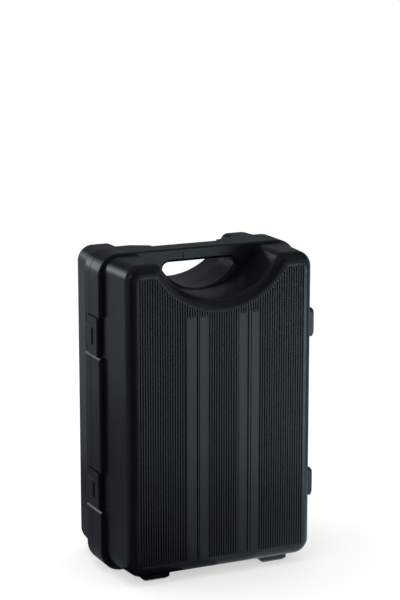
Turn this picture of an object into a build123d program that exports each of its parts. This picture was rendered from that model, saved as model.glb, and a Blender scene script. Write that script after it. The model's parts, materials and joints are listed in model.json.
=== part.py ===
from build123d import *
import math
import os

os.makedirs("parts", exist_ok=True)

# The case stands upright on its bottom feet. X runs across the front, Y from front to back,
# Z up. The two halves meet in a vertical parting plane, drawn here as Y = 0. Sizes are in
# millimetres.

# the rim flanges at the parting plane
flange_half_width = 136.0
flange_bottom, flange_top = 0.6, 409.0
flange_corner = 28.0
front_flange_depth, rear_flange_depth = 29.0, 19.0
flange_edge_round, parting_edge_round = 2.0, 0.7

# the two halves of the body, how far the flanges stand out from them, and how far the walls
# draw in from the flange to the face
front_depth, rear_depth = 98.4, 79.5
side_ledge, bottom_ledge = 6.4, 9.3
front_top_ledge, rear_top_ledge = 3.2, 4.8
front_side_draw, rear_side_draw, face_draw = 4.8, 6.5, 0.6
body_corner, edge_round = 20.0, 14.0
wall = 5.0
body_half_width = flange_half_width - side_ledge
body_bottom = flange_bottom + bottom_ledge
front_body_top = flange_top - front_top_ledge
rear_body_top = flange_top - rear_top_ledge

# what differs between the halves, by the way they reach along Y from the parting plane
half_sizes = {-1: (front_depth, front_flange_depth, front_body_top, front_side_draw),
              1: (rear_depth, rear_flange_depth, rear_body_top, rear_side_draw)}

# the scoop, an arc seen from the front, and the hand opening under the handle
shoulder_width, scoop_depth = 48.5, 54.2
scoop_bottom = flange_top - scoop_depth
scoop_half_width, scoop_rise = body_half_width - shoulder_width, front_body_top - scoop_bottom
scoop_radius = (scoop_rise ** 2 + scoop_half_width ** 2) / (2 * scoop_rise)
scoop_centre = scoop_bottom + scoop_radius
shoulder_round = 9.0
handle_height = 17.0
hand_radius, hand_step = 59.0, 1.4
hand_half_width, hand_round = 49.2, 9.0
hand_bottom, hand_top = scoop_bottom + hand_step, flange_top - handle_height
hand_lip, hand_flare, flare_edge = 3.5, 45.0, 1.0
handle_mark_x, handle_mark_width = -23.0, 3.0
handle_mark_margin, handle_mark_depth = 4.0, 1.0

# the dip in the rear flange, open over the hand opening
dip_depth, dip_run, dip_inset = 2.8, 30.5, 3.2
dip_end = hand_half_width - dip_inset
dip_start = dip_end + dip_run

# flutes on both faces, and raised strips on the front one
flute_pitch, flute_width, flute_depth = 3.3, 2.8, 1.1
flute_bottom_gap, flute_scoop_gap, flute_shoulder_gap = 16.3, 14.6, 17.0
flute_bottom = body_bottom + flute_bottom_gap
strip_spans = ((21.2, 32.3), (38.3, 49.6))
strip_scoop_gap, strip_flute_gap = 18.4, 1.0
strip_proud, strip_chamfer, strip_root = 0.8, 0.5, 2.0
strip_top = scoop_bottom - strip_scoop_gap

# feet, under the case and on its hinge side
foot_length, foot_run, foot_slope = 37.0, 34.0, 3.0
foot_corner, foot_tip_corner, foot_root = 4.0, 3.0, 4.0
foot_setback, foot_proud = 18.0, 1.2
bottom_foot_inset, side_foot_inset = 47.6, 99.3
feet_plane = flange_half_width + foot_proud
bottom_foot_x = body_half_width - bottom_foot_inset
side_foot_z = (flange_bottom + side_foot_inset, flange_top - side_foot_inset)

# latches, on the left side, and the notches that they lie in
latch_rise, latch_drop = 105.6, 104.3
latch_z = (flange_bottom + latch_rise, flange_top - latch_drop)
latch_height, latch_end_gap = 48.0, 1.75
latch_proud, latch_plate, latch_edge_round = 0.6, 3.4, 2.0
leg_setback, leg_thick = 6.0, 4.4
leg_gap, plate_gap = 0.4, 1.0
notch_slope, notch_ledge = 3.5, 2.0
barrel_radius, barrel_gap, barrel_cover = 5.0, 0.6, 1.0
pin_radius, pin_fit, pin_grip = 1.5, 0.08, 5.0
notch_height = latch_height + 2 * latch_end_gap
latch_face = flange_half_width + latch_proud
leg_front = front_flange_depth - leg_setback
leg_reach = latch_proud + side_ledge - leg_gap

# raised pad, slot, brow, finger ridges and window of a latch
pad_proud, pad_low, pad_high, pad_front, pad_round = 0.6, 13.0, 10.0, 6.5, 3.0
slot_gap, slot_width, slot_depth, slot_short = 0.8, 3.3, 1.6, 1.5
brow_gap, brow_height, brow_depth = 1.4, 4.4, 0.5
ridge_count, ridge_pitch, ridge_groove, ridge_depth, ridge_first = 4, 3.1, 1.3, 0.8, 4.2
ridge_margin = 1.2
window_half, window_depth, window_margin = 9.0, 1.8, 2.4
pad_face = latch_face + pad_proud
pivot_x = -(pad_face - barrel_radius)
pivot_y = rear_flange_depth - barrel_cover - barrel_radius
pad_back = pivot_y + 1.0

# leaf hinges, on the right side, with their knuckles as far out as the feet
hinge_inset = 99.3
hinge_z = (flange_bottom + hinge_inset, flange_top - hinge_inset)
hinge_length, knuckle_count = 60.0, 5
knuckle_radius, knuckle_gap, hinge_pin_radius = 2.8, 0.6, 1.3
leaf_thick, leaf_gap, leaf_edge, web_recess = 2.4, 0.3, 1.2, 0.4
leaf_run = rear_flange_depth - leaf_edge - knuckle_radius
hinge_x = feet_plane - knuckle_radius
screw_spread, screw_length = 20.0, 10.0
screw_radius, screw_head = 1.4, 3.0
lid_swing, swing_margin = 110.0, 6.0

# locating bead round the opening, and its groove
bead_width, bead_height, bead_gap, bead_root = 1.8, 2.0, 0.35, 1.0
bead_inset = 2.8

# low moulded rim inside each half, round the place where the pedal lies
nest_half_width, nest_bottom_gap, nest_scoop_gap = 84.0, 38.0, 40.0
nest_width, nest_height, nest_corner, nest_round = 7.0, 8.0, 18.0, 2.5

past = 1.0
shift_y = (front_depth + strip_proud - rear_depth) / 2


def block(x0, x1, y0, y1, z0, z1):
    size = (x1 - x0, y1 - y0, z1 - z0)
    return Pos((x0 + x1) / 2, (y0 + y1) / 2, (z0 + z1) / 2) * Box(*size)


def upright(radius, x, y, z0, z1):
    return Pos(x, y, (z0 + z1) / 2) * Cylinder(radius, z1 - z0)


def on_front(sketch, y):
    # a sketch drawn in XZ as seen from the front, laid in the plane at this Y
    return Plane(origin=(0, y, 0), x_dir=(1, 0, 0), z_dir=(0, -1, 0)) * sketch


def drawn(sketch, y_start, y_end, taper=0.0):
    # extrude from one Y to another
    way = -1 if y_end < y_start else 1
    face = on_front(sketch, y_start)
    return extrude(face, amount=abs(y_end - y_start), dir=(0, way, 0), taper=taper)


def blended(first, last, y_start, y_end):
    # straight walls from one outline to another
    return loft([on_front(first, y_start).face(), on_front(last, y_end).face()], ruled=True)


def edges_at(solid, y):
    def flat(edge):
        span = edge.bounding_box()
        return max(abs(span.min.Y - y), abs(span.max.Y - y)) < 0.05
    return [edge for edge in solid.edges() if flat(edge)]


def rounded(half_width, bottom, top, corner):
    return Pos(0, (bottom + top) / 2) * RectangleRounded(2 * half_width, top - bottom, corner)


def grown(outline, amount):
    return offset(outline, amount=amount, kind=Kind.ARC)


def body_outline(half_width, top, draw, inset):
    # drawn in by the draw at the bottom, top and scoop, and then by the inset all round
    top -= draw
    outline = rounded(half_width, body_bottom + draw, top, body_corner)
    outline = outline - Pos(0, scoop_centre) * Circle(scoop_radius + draw)
    straight_end = half_width - body_corner
    corners = [v for v in outline.vertices()
               if abs(v.Y - top) < 0.01 and abs(v.X) < straight_end - 0.01]
    outline = fillet(corners, shoulder_round)
    return outline if inset == 0 else grown(outline, -inset)


def body_block(way, inset, radius):
    # the body of one half, or with an inset its hollow; straight inside the flange
    depth, flange_depth, top, side_draw = half_sizes[way]
    near = body_outline(body_half_width, top, 0, inset)
    far = body_outline(body_half_width - side_draw, top, face_draw, inset)
    end = way * (depth - inset)
    tapered = blended(near, far, way * flange_depth, end)
    return drawn(near, 0, way * flange_depth) + fillet(edges_at(tapered, end), radius)


def hand_opening():
    opening = Pos(0, hand_bottom + hand_radius) * Circle(hand_radius)
    limit = Pos(0, (hand_bottom + hand_top) / 2)
    limit = limit * Rectangle(2 * hand_half_width, hand_top - hand_bottom)
    opening = opening & limit
    corners = [v for v in opening.vertices() if abs(v.Y - hand_top) < 0.01]
    return fillet(corners, hand_round)


def hand_flare_cut():
    # the opening widens towards the front, for the fingers
    flare = drawn(hand_opening(), -front_flange_depth + hand_lip, -front_flange_depth - past,
                  taper=-hand_flare)
    inside = drawn(Pos(0, scoop_centre) * Circle(scoop_radius - flare_edge),
                   0, -front_flange_depth - 2 * past)
    return flare & inside


def handle_mark():
    # a short upright groove in the front of the handle
    low, high = hand_top + handle_mark_margin, flange_top - handle_mark_margin
    return block(handle_mark_x - handle_mark_width / 2, handle_mark_x + handle_mark_width / 2,
                 -front_flange_depth - past, -front_flange_depth + handle_mark_depth, low, high)


def flange(way):
    depth = half_sizes[way][1]
    outline = rounded(flange_half_width, flange_bottom, flange_top, flange_corner)
    plate = drawn(outline - hand_opening(), 0, way * depth)
    plate = fillet(edges_at(plate, way * depth), flange_edge_round)
    return fillet(edges_at(plate, 0), parting_edge_round)


def foot(plane, reach):
    tip = plane * RectangleRounded(foot_length - 2 * foot_slope, foot_run - 2 * foot_slope,
                                   foot_tip_corner)
    wide = plane.offset(foot_slope) * RectangleRounded(foot_length, foot_run, foot_corner)
    return loft([tip.face(), wide.face()]) + extrude(wide, amount=reach - foot_slope,
                                                     dir=plane.z_dir)


def feet(way):
    depth, _, _, side_draw = half_sizes[way]
    y = way * (depth - foot_setback - foot_run / 2)
    made = []
    for x in (-bottom_foot_x, bottom_foot_x):
        plane = Plane(origin=(x, y, 0), x_dir=(1, 0, 0), z_dir=(0, 0, 1))
        made.append(foot(plane, body_bottom + face_draw + foot_root))
    for z in side_foot_z:
        plane = Plane(origin=(feet_plane, y, z), x_dir=(0, 0, 1), z_dir=(-1, 0, 0))
        made.append(foot(plane, foot_proud + side_ledge + side_draw + foot_root))
    return made


def half_shell(way):
    outside = body_block(way, 0, edge_round) + flange(way)
    for one in feet(way):
        outside += one
    return outside - body_block(way, wall, edge_round - wall)


def bead(way, gap):
    middle, half = bead_inset, bead_width / 2 + gap
    inner = body_outline(body_half_width, rear_body_top, 0, middle + half)
    outer = body_outline(body_half_width, rear_body_top, 0, middle - half)
    return drawn(outer - inner, way * bead_root, -way * (bead_height + gap))


def nest_rim(way):
    low, high = body_bottom + nest_bottom_gap, scoop_bottom - nest_scoop_gap
    outer = rounded(nest_half_width, low, high, nest_corner)
    inner = rounded(nest_half_width - nest_width, low + nest_width, high - nest_width,
                    nest_corner - nest_width)
    inner_wall = way * (half_sizes[way][0] - wall)
    top = inner_wall - way * nest_height
    rim = drawn(outer - inner, inner_wall + way * wall / 2, top)
    return fillet(edges_at(rim, top), nest_round)


def flute_top(x, body_top):
    # flutes stop short of the shoulder edge, and follow the scoop between the shoulders
    reach = scoop_radius + flute_scoop_gap
    shoulder = body_top - flute_shoulder_gap
    if abs(x) >= reach:
        return shoulder
    return min(scoop_centre - math.sqrt(reach ** 2 - x ** 2), shoulder)


def flutes(way, strips):
    # V grooves; under a strip they start only above its top
    depth, _, body_top, side_draw = half_sizes[way]
    flute_count = int((body_half_width - side_draw - edge_round) / flute_pitch + 0.5)
    cutters = []
    for index in range(flute_count):
        x = (index + 0.5) * flute_pitch
        on_strip = any(near - strip_flute_gap < x < far + strip_flute_gap for near, far in strips)
        low = strip_top + strip_flute_gap if on_strip else flute_bottom
        for middle in (-x, x):
            groove = make_face(Polyline((middle - flute_width / 2, way * (depth + flute_depth / 2)),
                                        (middle + flute_width / 2, way * (depth + flute_depth / 2)),
                                        (middle, way * (depth - flute_depth)), close=True))
            length = flute_top(x, body_top) - low
            cutters.append(extrude(Pos(0, 0, low) * groove, amount=length, dir=(0, 0, 1)))
    return cutters


def raised_strips():
    made = []
    for side in (-1, 1):
        for near, far in strip_spans:
            x0, x1 = sorted((side * near, side * far))
            bar = block(x0, x1, -front_depth - strip_proud, -front_depth + strip_root,
                        flute_bottom, strip_top)
            made.append(chamfer(bar.faces().sort_by(Axis.Y)[0].edges(), strip_chamfer))
    return made


def latch_cut(z):
    # room in both flanges for one latch, and the pin holes above and below it
    z0, z1 = z - notch_height / 2, z + notch_height / 2
    side = -flange_half_width - past
    front, back = -front_flange_depth - past, rear_flange_depth + past
    room = block(side, -(latch_face - latch_plate - plate_gap), front, back, z0, z1)
    room += block(side, -body_half_width, front, -(leg_front - leg_thick - leg_gap), z0, z1)
    room += upright(barrel_radius + barrel_gap, pivot_x, pivot_y, z0, z1)
    room += block(side, pivot_x + barrel_radius + barrel_gap, pivot_y, back, z0, z1)
    slope = make_face(Polyline((side, z0 - notch_slope), (side, z0 + past),
                               (-body_half_width, z0 + past), (-body_half_width, z0),
                               (-flange_half_width + notch_ledge, z0), close=True))
    room += drawn(slope, back, front)
    return room + upright(pin_radius, pivot_x, pivot_y, z0 - pin_grip, z1 + pin_grip)


def latch_relief(z):
    # slot beside the pad, brow above it, ridges and window on the front of the leg
    leg_back = -latch_face + leg_reach + past
    slot_y = -(pad_front + slot_gap)
    cut = block(-pad_face - past, -latch_face + slot_depth, slot_y - slot_width, slot_y,
                z - pad_low + slot_short, z + pad_high - slot_short)
    brow = z + pad_high + brow_gap
    cut += block(-pad_face - past, -latch_face + brow_depth, slot_y, pad_back + barrel_radius,
                 brow, brow + brow_height)
    for step in range(ridge_count):
        low = z + latch_height / 2 - ridge_first - step * ridge_pitch
        cut += block(-latch_face + ridge_margin, leg_back, -leg_front - past,
                     -leg_front + ridge_depth, low, low + ridge_groove)
    return cut + block(-latch_face + window_margin, leg_back, -leg_front - past,
                       -leg_front + window_depth, z - window_half, z + window_half)


def latch(z):
    z0, z1 = z - latch_height / 2, z + latch_height / 2
    inner_face = -(latch_face - latch_plate)
    solid = block(-latch_face, inner_face, -leg_front, pivot_y, z0, z1)
    solid += block(-latch_face, -latch_face + leg_reach, -leg_front, -(leg_front - leg_thick), z0, z1)
    front_edge = [edge for edge in solid.edges().filter_by(Axis.Z)
                  if edge.center().X < -latch_face + 0.1 and edge.center().Y < 0]
    solid = fillet(front_edge, latch_edge_round)
    barrel = upright(barrel_radius, pivot_x, pivot_y, z0, z1)
    solid += barrel & block(-pad_face, pivot_x + barrel_radius, 0, pivot_y + barrel_radius, z0, z1)
    pad = block(-pad_face, inner_face, -pad_front, pad_back, z - pad_low, z + pad_high)
    solid += fillet(pad.edges().filter_by(Axis.X), pad_round)
    solid -= latch_relief(z)
    return solid - upright(pin_radius + pin_fit, pivot_x, pivot_y, z0 - past, z1 + past)


def latch_pin(z):
    reach = notch_height / 2 + pin_grip
    return upright(pin_radius, pivot_x, pivot_y, z - reach, z + reach)


def knuckle_span(z, index):
    pitch = hinge_length / knuckle_count
    low = z - hinge_length / 2 + index * pitch
    return low + leaf_gap / 2, low + pitch - leaf_gap / 2


def hinge_leaf(way, z):
    # way +1 is the leaf on the rear half, -1 the leaf on the front half
    half = hinge_length / 2 - leaf_gap
    inner = flange_half_width - leaf_thick
    y0, y1 = sorted((way * (knuckle_radius + leaf_gap), way * (leaf_run + knuckle_radius)))
    plate = block(inner, flange_half_width, y0, y1, z - half, z + half)
    spans = [knuckle_span(z, index) for index in range(knuckle_count)
             if (index % 2 == 0) == (way > 0)]
    for low, high in spans:
        plate += upright(knuckle_radius, hinge_x, 0, low, high)
        near, far = sorted((0, way * (knuckle_radius + leaf_gap + past)))
        plate += block(inner, flange_half_width - web_recess, near, far, low, high)
    for low, high in spans:
        plate -= upright(hinge_pin_radius + pin_fit, hinge_x, 0, low - past, high + past)
    for place in screw_places(way, z):
        plate -= screw(place, pin_fit)
    return plate


def hinge_pin(z):
    half = hinge_length / 2 - leaf_gap / 2
    return upright(hinge_pin_radius, hinge_x, 0, z - half, z + half)


def screw_places(way, z):
    y = way * (2 * knuckle_radius + leaf_gap + leaf_run) / 2
    return [(flange_half_width, y, z + side * screw_spread) for side in (-1, 1)]


def screw(place, gap):
    head = screw_head - screw_radius
    shaft = Rot(0, 90, 0) * Cylinder(screw_radius + gap, screw_length)
    cone = Pos(-head / 2, 0, 0) * Rot(0, 90, 0) * Cone(screw_radius, screw_head + gap, head)
    return Pos(*place) * (Pos(-screw_length / 2, 0, 0) * shaft + cone)


def hinge_cut(z):
    half = hinge_length / 2 + leaf_gap
    clear = upright(knuckle_radius + knuckle_gap, hinge_x, 0, z - half, z + half)
    reach = leaf_run + knuckle_radius + leaf_gap
    return clear + block(flange_half_width - leaf_thick, flange_half_width + past, -reach, reach,
                         z - half, z + half)


def hinge_bevel():
    # V-shaped relief along the parting line on the hinge side, so that the lid can swing
    run = flange_half_width + past - hinge_x
    side = run * math.tan(math.radians(lid_swing / 2 + swing_margin))
    face = make_face(Polyline((hinge_x, 0), (hinge_x + run, -side), (hinge_x + run, side),
                              close=True))
    return extrude(face, amount=flange_top + past, dir=(0, 0, 1))


def rear_top_cut():
    # the rear flange dips towards the hand opening, and is open above it
    low, floor = flange_top - dip_depth, hand_top - hand_round
    dip = Polyline((-dip_start, flange_top), (-dip_end, low), (-dip_end, floor), (dip_end, floor),
                   (dip_end, low), (dip_start, flange_top), (dip_start, flange_top + past),
                   (-dip_start, flange_top + past), close=True)
    return drawn(make_face(dip), -past, rear_flange_depth + past)


def save(name, solid):
    moved = Pos(0, shift_y, 0) * solid
    export_step(moved, "parts/" + name + ".step")
    print(name, len(moved.solids()), round(moved.volume / 1000, 1), "cm3")


front = half_shell(-1) - hand_flare_cut()
front = front + nest_rim(-1) - bead(1, bead_gap)
for bar in raised_strips():
    front += bar
front = front - flutes(-1, strip_spans) - handle_mark()

rear = half_shell(1) - rear_top_cut()
rear = rear + nest_rim(1) + bead(1, 0)
rear = rear - flutes(1, ())

for tool in [latch_cut(z) for z in latch_z] + [hinge_cut(z) for z in hinge_z] + [hinge_bevel()]:
    front -= tool
    rear -= tool

for z in hinge_z:
    for place in screw_places(-1, z):
        front -= screw(place, 0)
    for place in screw_places(1, z):
        rear -= screw(place, 0)

save("front_shell", front)
save("rear_shell", rear)

for label, z in zip(("lower", "upper"), latch_z):
    save(label + "_latch", latch(z))
    save(label + "_latch_pin", latch_pin(z))

for label, z in zip(("lower", "upper"), hinge_z):
    save(label + "_hinge_rear_leaf", hinge_leaf(1, z))
    save(label + "_hinge_front_leaf", hinge_leaf(-1, z))
    save(label + "_hinge_pin", hinge_pin(z))

for label, way in (("front", -1), ("rear", 1)):
    group = [screw(place, 0) for z in hinge_z for place in screw_places(way, z)]
    save(label + "_hinge_screws", Compound(group))
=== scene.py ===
import bmesh
import bpy
import json
import math
from mathutils import Matrix, Vector


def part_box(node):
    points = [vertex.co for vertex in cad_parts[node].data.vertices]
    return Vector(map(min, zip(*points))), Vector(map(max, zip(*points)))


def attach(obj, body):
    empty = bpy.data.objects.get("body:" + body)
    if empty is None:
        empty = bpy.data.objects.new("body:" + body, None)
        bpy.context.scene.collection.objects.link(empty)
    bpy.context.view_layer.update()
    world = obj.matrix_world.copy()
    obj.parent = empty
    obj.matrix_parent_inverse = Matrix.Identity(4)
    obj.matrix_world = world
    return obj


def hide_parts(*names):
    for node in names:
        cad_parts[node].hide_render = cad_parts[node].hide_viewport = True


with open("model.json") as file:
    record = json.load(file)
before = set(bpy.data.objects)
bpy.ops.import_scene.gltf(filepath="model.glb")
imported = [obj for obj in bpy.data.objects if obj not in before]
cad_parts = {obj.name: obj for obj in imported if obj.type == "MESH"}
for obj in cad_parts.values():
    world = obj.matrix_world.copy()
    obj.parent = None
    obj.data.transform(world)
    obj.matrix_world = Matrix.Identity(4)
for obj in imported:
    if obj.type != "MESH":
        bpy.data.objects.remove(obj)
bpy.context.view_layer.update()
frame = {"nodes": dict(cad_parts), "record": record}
print("loaded", len(frame["nodes"]), "moulded and metal pieces")


# materials

def newTree(name):
    material = bpy.data.materials.new(name)
    material.use_nodes = True
    material.node_tree.nodes.clear()
    return material, material.node_tree


def newMaterial(name):
    material, tree = newTree(name)
    output = tree.nodes.new("ShaderNodeOutputMaterial")
    shader = tree.nodes.new("ShaderNodeBsdfPrincipled")
    tree.links.new(shader.outputs["BSDF"], output.inputs["Surface"])
    return material, tree, shader


def objectPlace(tree, scale=(1, 1, 1)):
    # object coordinates, stretched by a Mapping node
    coords = tree.nodes.new("ShaderNodeTexCoord")
    mapping = tree.nodes.new("ShaderNodeMapping")
    mapping.inputs["Scale"].default_value = scale
    tree.links.new(coords.outputs["Object"], mapping.inputs["Vector"])
    return mapping.outputs["Vector"]


def noiseAt(tree, place, scale, detail, roughness=0.55):
    noise = tree.nodes.new("ShaderNodeTexNoise")
    noise.inputs["Scale"].default_value = scale
    noise.inputs["Detail"].default_value = detail
    noise.inputs["Roughness"].default_value = roughness
    tree.links.new(place, noise.inputs["Vector"])
    return noise.outputs["Fac"]


def ranged(tree, value, fromSpan, toSpan):
    node = tree.nodes.new("ShaderNodeMapRange")
    for socket, number in zip(("From Min", "From Max", "To Min", "To Max"), (*fromSpan, *toSpan)):
        node.inputs[socket].default_value = number
    tree.links.new(value, node.inputs["Value"])
    return node.outputs["Result"]


def mixedColour(tree, factor, first, second):
    node = tree.nodes.new("ShaderNodeMix")
    node.data_type = "RGBA"
    node.inputs["A"].default_value = (*first, 1)
    node.inputs["B"].default_value = (*second, 1)
    tree.links.new(factor, node.inputs["Factor"])
    return node.outputs["Result"]


def bumped(tree, heights, shader):
    # each height is (socket, distance in metres, strength), one bump after another
    normal = None
    for height, distance, strength in heights:
        bump = tree.nodes.new("ShaderNodeBump")
        bump.inputs["Distance"].default_value = distance
        bump.inputs["Strength"].default_value = strength
        tree.links.new(height, bump.inputs["Height"])
        if normal is not None:
            tree.links.new(normal, bump.inputs["Normal"])
        normal = bump.outputs["Normal"]
    tree.links.new(normal, shader.inputs["Normal"])


noiseMiddle = (0.3, 0.7)   # the part of a noise's values that sets roughness

# what the plastics and the paint share; a bump is its height in metres and its strength
moulding = {"cloudScale": 35.0, "cloudDetail": 4.0, "grainDetail": 2.0, "grainRoughness": 0.7,
            "grainBump": (0.00004, 0.6), "waveDetail": 1.0, "waveBump": (0.0006, 0.35)}
satinCase = {"dark": (0.0045, 0.0057, 0.0064), "light": (0.0068, 0.0085, 0.0095),
             "sheen": (0.88, 0.95, 0.98), "rough": (0.27, 0.33),
             "grainScale": 1500.0, "waveScale": 22.0}
latchLook = {"dark": (0.0050, 0.0062, 0.0070), "light": (0.0078, 0.0096, 0.0107),
             "sheen": (0.88, 0.95, 0.98), "rough": (0.20, 0.28),
             "grainScale": 2200.0, "waveScale": 40.0}
hingeLook = {"dark": (0.010, 0.010, 0.010), "light": (0.020, 0.020, 0.020),
             "sheen": (1.0, 1.0, 1.0), "rough": (0.32, 0.48),
             "grainScale": 900.0, "waveScale": 60.0}


def satinPlastic(name, look):
    # fine satin grain, slow waviness of the wall, cloudy gloss
    material, tree, shader = newMaterial(name)
    place = objectPlace(tree)
    cloud = noiseAt(tree, place, moulding["cloudScale"], moulding["cloudDetail"])
    grain = noiseAt(tree, place, look["grainScale"], moulding["grainDetail"],
                    moulding["grainRoughness"])
    wave = noiseAt(tree, place, look["waveScale"], moulding["waveDetail"])
    tree.links.new(mixedColour(tree, cloud, look["dark"], look["light"]), shader.inputs["Base Color"])
    tree.links.new(ranged(tree, cloud, noiseMiddle, look["rough"]), shader.inputs["Roughness"])
    shader.inputs["Specular Tint"].default_value = (*look["sheen"], 1)
    bumped(tree, [(wave, *moulding["waveBump"]), (grain, *moulding["grainBump"])], shader)
    return material


pinLook = {"colour": (0.45, 0.45, 0.46), "rough": (0.22, 0.38), "ringScale": 700.0,
           "ringDetail": 2.0, "ringStretch": (1, 1, 6), "ringBump": (0.00003, 0.5)}


def turnedSteel(name, look):
    material, tree, shader = newMaterial(name)
    ring = noiseAt(tree, objectPlace(tree, look["ringStretch"]), look["ringScale"],
                   look["ringDetail"])
    shader.inputs["Base Color"].default_value = (*look["colour"], 1)
    shader.inputs["Metallic"].default_value = 1.0
    tree.links.new(ranged(tree, ring, noiseMiddle, look["rough"]), shader.inputs["Roughness"])
    bumped(tree, [(ring, *look["ringBump"])], shader)
    return material


pinMaterial = turnedSteel("plain steel", pinLook)
materialOfSlot = {"case_plastic": satinPlastic("satin case plastic", satinCase),
                  "latch_plastic": satinPlastic("latch plastic", latchLook),
                  "hinge_plate": satinPlastic("black hinge paint", hingeLook),
                  "pin_steel": pinMaterial}
slotOfNode = {piece["node"]: piece["material_slot"] for piece in frame["record"]["subparts"]}
for nodeName, node in frame["nodes"].items():
    for materialSlot in node.material_slots:
        materialSlot.material = materialOfSlot[slotOfNode[nodeName]]
print("materials made")


def objectOf(name, shape):
    mesh = bpy.data.meshes.new(name)
    shape.to_mesh(mesh)
    shape.free()
    piece = bpy.data.objects.new(name, mesh)
    bpy.context.scene.collection.objects.link(piece)
    return piece


# hinge screws with their cross recess, in place of the plain ones

hingeScrew = {"edge": 0.00012, "headHeight": 0.0016, "shaftRadius": 0.0014, "length": 0.010,
              "tip": 0.0015, "recess": (0.0009, 0.0036), "recessDepth": 0.0009, "spacing": 0.040,
              "segments": 48, "turn": 37.0}


def turnedScrew(look, headRadius):
    # one screw upright, the face of its head at z = 0
    profile = [(0, 0), (headRadius - look["edge"], 0), (headRadius, -look["edge"]),
               (look["shaftRadius"], -look["headHeight"]),
               (look["shaftRadius"], look["tip"] - look["length"]), (0, -look["length"])]
    turned = bmesh.new()
    points = [turned.verts.new((radius, 0, height)) for radius, height in profile]
    edges = [turned.edges.new(pair) for pair in zip(points, points[1:])]
    bmesh.ops.spin(turned, geom=points + edges, cent=(0, 0, 0), axis=(0, 0, 1), angle=math.tau,
                   steps=look["segments"], use_merge=True)
    bmesh.ops.remove_doubles(turned, verts=turned.verts, dist=1e-6)
    bmesh.ops.recalc_face_normals(turned, faces=turned.faces)
    return turned


def crossCutter(look):
    # two crossed bars, half above the head's face
    cutter = bmesh.new()
    width, length = look["recess"]
    for size in ((width, length), (length, width)):
        grow = Matrix.Diagonal((*size, 2 * look["recessDepth"], 1))
        bmesh.ops.create_cube(cutter, size=1.0, matrix=grow)
    return cutter


def recessedScrewMesh(look, headRadius):
    screw = objectOf("screwBlank", turnedScrew(look, headRadius))
    cutter = objectOf("screwCutter", crossCutter(look))
    cut = screw.modifiers.new("recess", "BOOLEAN")
    cut.operation, cut.solver, cut.object, cut.use_self = "DIFFERENCE", "EXACT", cutter, True
    seen = screw.evaluated_get(bpy.context.evaluated_depsgraph_get())
    mesh = bpy.data.meshes.new_from_object(seen)
    for blank in (screw, cutter):
        bpy.data.objects.remove(blank)
    return mesh


def makeScrews(node, body, look):
    low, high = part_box(node)
    headRadius = (high.y - low.y) / 2
    screwMesh = recessedScrewMesh(look, headRadius)
    group = bmesh.new()
    heights = (low.z + headRadius, low.z + headRadius + look["spacing"],
               high.z - headRadius - look["spacing"], high.z - headRadius)
    for index, height in enumerate(heights):
        before = set(group.verts)
        group.from_mesh(screwMesh)
        mine = [vert for vert in group.verts if vert not in before]
        spot = Matrix.Translation((high.x, (low.y + high.y) / 2, height))
        lay = (Matrix.Rotation(math.radians(index * look["turn"]), 4, "X")
               @ Matrix.Rotation(math.pi / 2, 4, "Y"))   # each recess stands as it was driven
        bmesh.ops.transform(group, matrix=spot @ lay, verts=mine)
    screws = objectOf(node + "_recessed", group)
    screws.data.materials.append(pinMaterial)
    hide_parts(node)
    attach(screws, body)


for screwBody in ("front", "rear"):
    makeScrews(screwBody + "_hinge_screws", screwBody, hingeScrew)
print("screws made")


# camera, at the place and angle of the photograph

cameraPlace = {"azimuth": -24.972, "elevation": 12.306, "spot": (-1.03458, -2.24297, 0.87595),
               "lens": 120.12, "sensor": 36.0, "clip": (0.05, 30.0)}


def makeCamera(place):
    data = bpy.data.cameras.new("camera")
    data.lens = place["lens"]
    data.sensor_width = place["sensor"]
    data.clip_start, data.clip_end = place["clip"]
    camera = bpy.data.objects.new("camera", data)
    bpy.context.scene.collection.objects.link(camera)
    turn, rise = math.radians(place["azimuth"]), math.radians(place["elevation"])
    back = Vector((math.sin(turn) * math.cos(rise), -math.cos(turn) * math.cos(rise),
                   math.sin(rise)))
    camera.location = place["spot"]
    camera.rotation_mode = "QUATERNION"
    camera.rotation_quaternion = (-back).to_track_quat("-Z", "Y")
    bpy.context.scene.camera = camera


makeCamera(cameraPlace)


# floor, backdrop and light

studio = {"floorSize": 14.0, "floorColour": (0.80, 0.80, 0.80), "floorRoughness": 0.9,
          "floorGlow": 0.55, "worldLight": 0.55, "white": (1, 1, 1, 1)}


def seenDirectly(tree):
    # 1 for rays from the camera, from gloss and through glass
    path = tree.nodes.new("ShaderNodeLightPath")
    total = path.outputs["Is Camera Ray"]
    for ray in ("Is Glossy Ray", "Is Transmission Ray"):
        adder = tree.nodes.new("ShaderNodeMath")
        adder.operation = "MAXIMUM"
        tree.links.new(total, adder.inputs[0])
        tree.links.new(path.outputs[ray], adder.inputs[1])
        total = adder.outputs[0]
    return total


def makeFloor():
    # white where it is seen, but still darker under the object
    sheet = bmesh.new()
    bmesh.ops.create_grid(sheet, x_segments=1, y_segments=1, size=studio["floorSize"] / 2)
    floor = objectOf("floor", sheet)
    material, tree, shader = newMaterial("pale floor")
    shader.inputs["Base Color"].default_value = (*studio["floorColour"], 1)
    shader.inputs["Roughness"].default_value = studio["floorRoughness"]
    shader.inputs["Specular IOR Level"].default_value = 0.0
    shader.inputs["Emission Color"].default_value = studio["white"]
    glow = tree.nodes.new("ShaderNodeMath")
    glow.operation = "MULTIPLY"
    glow.inputs[1].default_value = studio["floorGlow"]
    tree.links.new(seenDirectly(tree), glow.inputs[0])
    tree.links.new(glow.outputs[0], shader.inputs["Emission Strength"])
    floor.data.materials.append(material)


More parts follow.
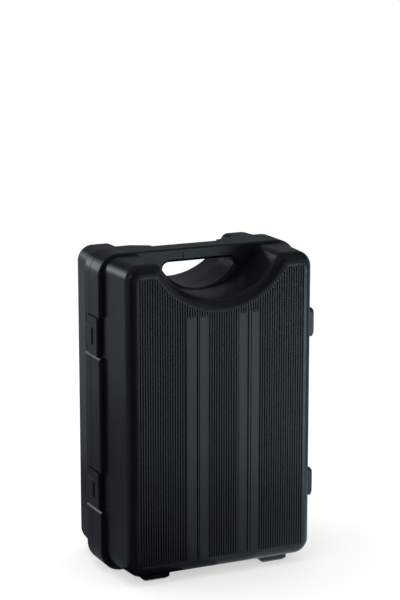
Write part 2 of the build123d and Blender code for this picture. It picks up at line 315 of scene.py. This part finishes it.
def makeWorld():
    # a plain level on the object, and white where the world is seen
    world = bpy.data.worlds.new("studio")
    world.use_nodes = True
    tree = world.node_tree
    tree.nodes.clear()
    output = tree.nodes.new("ShaderNodeOutputWorld")
    mixer = tree.nodes.new("ShaderNodeMixShader")
    tree.links.new(seenDirectly(tree), mixer.inputs["Fac"])
    for index, strength in enumerate((studio["worldLight"], 1.0), 1):
        background = tree.nodes.new("ShaderNodeBackground")
        background.inputs["Color"].default_value = studio["white"]
        background.inputs["Strength"].default_value = strength
        tree.links.new(background.outputs[0], mixer.inputs[index])
    tree.links.new(mixer.outputs[0], output.inputs["Surface"])
    bpy.context.scene.world = world


# the tent's lit panels: azimuth from and to, then elevation from and to, and how bright;
# azimuth 0 is in front of the case, 90 on its hinge side
wallPanels = {
    "behindLeft": (-165, -150, 15, 30, 1.7),
    "behindLeftSide": (-150, -135, 15, 30, 3.2),
    "behindLeftLow": (-165, -135, 0, 15, 0.4),
    "behindLeftHigh": (-150, -120, 30, 60, 0.25),
    "behind": (-180, -165, 0, 45, 0.12),
    "behindRight": (120, 180, 0, 45, 0.14),
    "behindHigh": (120, 180, 45, 60, 0.15),
    "left": (-120, -75, 0, 30, 0.25),
    "leftHigh": (-90, -60, 30, 45, 0.8),
    "frontLeft": (-30, 0, 0, 30, 0.15),
    "front": (0, 30, 0, 30, 0.35),
    "frontRight": (30, 60, 0, 15, 0.4),
    "frontRightHigh": (30, 60, 15, 45, 0.3),
    "frontHigh": (0, 90, 45, 60, 0.2),
    "right": (60, 120, 0, 30, 0.3),
    "top": (-180, 180, 60, 90, 0.12),
}
# those on the floor: azimuth from and to, then distance from and to in metres, and how bright
floorPanels = {
    "floorBack": (-180, -165, 0, 2, 0.35),
    "floorBehind": (-165, -150, 0, 0.5, 0.06),
    "floorBehindFar": (-165, -150, 0.5, 2, 0.16),
    "floorBehindLeft": (-150, -120, 0, 1, 0.12),
    "floorBehindLeftFar": (-150, -120, 1, 2, 0.38),
    "floorLeft": (-120, -75, 0, 2, 0.15),
    "floorFrontLeftNear": (-30, 0, 0, 0.5, 0.2),
    "floorFrontCentreNear": (0, 30, 0, 0.5, 0.5),
    "floorFrontRightNear": (30, 90, 0, 0.5, 0.8),
    "floorFront": (0, 30, 0.5, 1.3, 1.0),
    "floorFrontFar": (0, 30, 1.3, 1.6, 2.6),
    "floorFrontRight": (30, 60, 0.5, 1.3, 2.2),
    "floorFrontRightFar": (30, 60, 1.3, 1.6, 6.5),
    "floorFrontEnd": (0, 60, 1.6, 2, 1.0),
    "floorRight": (60, 120, 0, 2, 0.35),
    "floorBehindRight": (120, 180, 0, 2, 0.5),
}
tent = {"radius": 1.9, "steps": 24, "rings": 12, "floorGap": 0.002, "colour": (0.86, 1.0, 1.09)}


def panelGlow(x, y, z):
    # how bright the tent's cloth is at a point; 0 where no panel lies
    azimuth = math.degrees(math.atan2(x, -y))
    along = math.hypot(x, y)
    second = math.degrees(math.atan2(z, along)) if z > 0 else along
    for low, high, start, end, glow in (wallPanels if z > 0 else floorPanels).values():
        if low < azimuth < high and start < second < end:
            return glow
    return 0.0


def makeTent():
    # dark cloth and lit panels all round, seen only in the gloss of the object
    dome = bmesh.new()
    bmesh.ops.create_uvsphere(dome, u_segments=tent["steps"], v_segments=tent["rings"],
                              radius=tent["radius"])
    glowLayer = dome.faces.layers.float.new("glow")
    for face in dome.faces:
        face[glowLayer] = panelGlow(*face.calc_center_median())
    for corner in dome.verts:
        corner.co.z = max(corner.co.z, tent["floorGap"])   # the lower half lies on the floor
    cloth = objectOf("tent", dome)
    material, tree = newTree("tent cloth")
    output = tree.nodes.new("ShaderNodeOutputMaterial")
    emitter = tree.nodes.new("ShaderNodeEmission")
    panel = tree.nodes.new("ShaderNodeAttribute")
    panel.attribute_name = "glow"
    emitter.inputs["Color"].default_value = (*tent["colour"], 1)
    tree.links.new(panel.outputs["Fac"], emitter.inputs["Strength"])
    tree.links.new(emitter.outputs[0], output.inputs["Surface"])
    cloth.data.materials.append(material)
    cloth.visible_camera = cloth.visible_diffuse = cloth.visible_shadow = False
    cloth.visible_transmission = cloth.visible_volume_scatter = False


lamps = {
    "topSoftbox": {"spot": (-0.3, 0.2, 1.9), "size": (1.6, 1.2), "power": 6.0},
    "leftSoftbox": {"spot": (-1.8, 0.9, 1.1), "size": (1.0, 1.4), "power": 4.0},
}
lampTarget = Vector((0, 0, 0.2))


def makeLamp(name, facts):
    data = bpy.data.lights.new(name, "AREA")
    data.shape = "RECTANGLE"
    data.size, data.size_y = facts["size"]
    data.energy = facts["power"]
    lamp = bpy.data.objects.new(name, data)
    bpy.context.scene.collection.objects.link(lamp)
    lamp.location = facts["spot"]
    lamp.rotation_mode = "QUATERNION"
    lamp.rotation_quaternion = (lampTarget - Vector(facts["spot"])).to_track_quat("-Z", "Y")
    lamp.visible_camera = lamp.visible_glossy = False   # the tent's panels are what gloss shows


makeFloor()
makeWorld()
makeTent()
for lampName, lampFacts in lamps.items():
    makeLamp(lampName, lampFacts)
bpy.context.scene.view_settings.view_transform = "Standard"
print("camera, floor, tent and lamps set")
